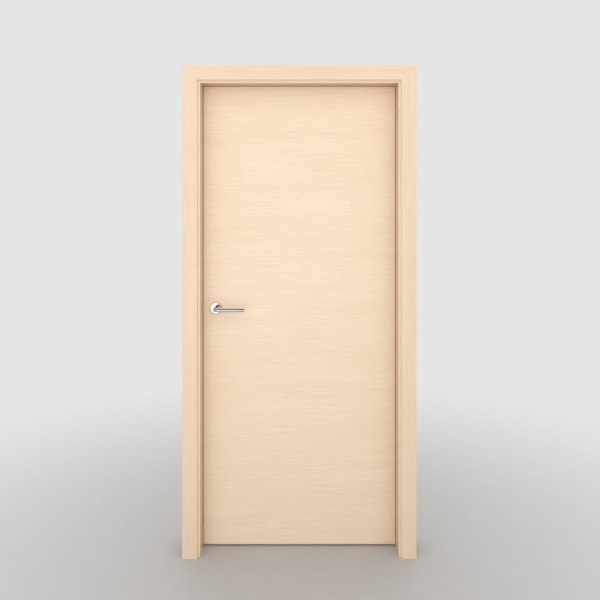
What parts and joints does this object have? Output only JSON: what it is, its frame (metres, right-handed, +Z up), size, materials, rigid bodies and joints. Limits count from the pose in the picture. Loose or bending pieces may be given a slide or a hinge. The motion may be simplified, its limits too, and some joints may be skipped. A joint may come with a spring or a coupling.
{
  "type": "flush interior door",
  "caption": "Flush interior door in pale veneer: rebated lining, flat architraves on both faces, butt hinges, tubular latch and bright straight levers on round roses",
  "frame": {"origin": "On the flat back face of the hinge-side lining, at floor level and at mid-depth of the wall", "axes": "+Z up; +X out of the back of the hinge-side lining, so the doorway lies towards -X; +Y through the wall away from the near room, the way the leaf opens"},
  "size_m": [1.027, 0.21, 2.1235],
  "materials": {
    "leaf_veneer": "satin",
    "lining_veneer": "satin",
    "lipping_wood": "satin",
    "softwood": "matte",
    "core_board": "matte",
    "seal_rubber": "matte",
    "bright_metal": "polished",
    "satin_steel": "satin",
    "plain_steel": "matte"
  },
  "bodies": {
    "frame": {"jamb_hinge_side": "lining_veneer", "jamb_latch_side": "lining_veneer", "jamb_head": "lining_veneer", "casing_near_hinge_side": "lining_veneer", "casing_near_latch_side": "lining_veneer", "casing_near_head": "lining_veneer", "casing_far_hinge_side": "lining_veneer", "casing_far_latch_side": "lining_veneer", "casing_far_head": "lining_veneer", "seal_hinge_side": "seal_rubber", "seal_latch_side": "seal_rubber", "seal_head": "seal_rubber", "strike_plate": "satin_steel", "hinge_bottom_frame_plate": "satin_steel", "hinge_bottom_pin": "satin_steel", "hinge_middle_frame_plate": "satin_steel", "hinge_middle_pin": "satin_steel", "hinge_top_frame_plate": "satin_steel", "hinge_top_pin": "satin_steel"},
    "leaf": {"hinge_bottom_leaf_plate": "satin_steel", "hinge_middle_leaf_plate": "satin_steel", "hinge_top_leaf_plate": "satin_steel", "near_skin": "leaf_veneer", "far_skin": "leaf_veneer", "core_infill": "core_board", "bottom_rail": "softwood", "top_rail": "softwood", "stile_latch_side": "softwood", "stile_hinge_side": "softwood", "lipping_hinge_side": "lipping_wood", "lipping_latch_side": "lipping_wood", "latch_case": "satin_steel", "latch_bolt": "satin_steel", "rosette_near": "bright_metal", "rosette_far": "bright_metal"},
    "lever_handles": {"lever_near": "bright_metal", "lever_far": "bright_metal", "spindle": "plain_steel"}
  },
  "joints": [
    {"name": "door_swing", "type": "hinge", "parent": "frame", "child": "leaf", "pos_m": [-0.02825, 0.071, 0], "axis": [0, 0, -1], "range_deg": [0, 120]},
    {"name": "lever_turn", "type": "hinge", "parent": "leaf", "child": "lever_handles", "pos_m": [-0.8305, 0.045, 1.054], "axis": [0, 1, 0], "range_deg": [0, 45], "stiffness_Nm_per_rad": 1.5, "springref_deg": -17.19}
  ]
}
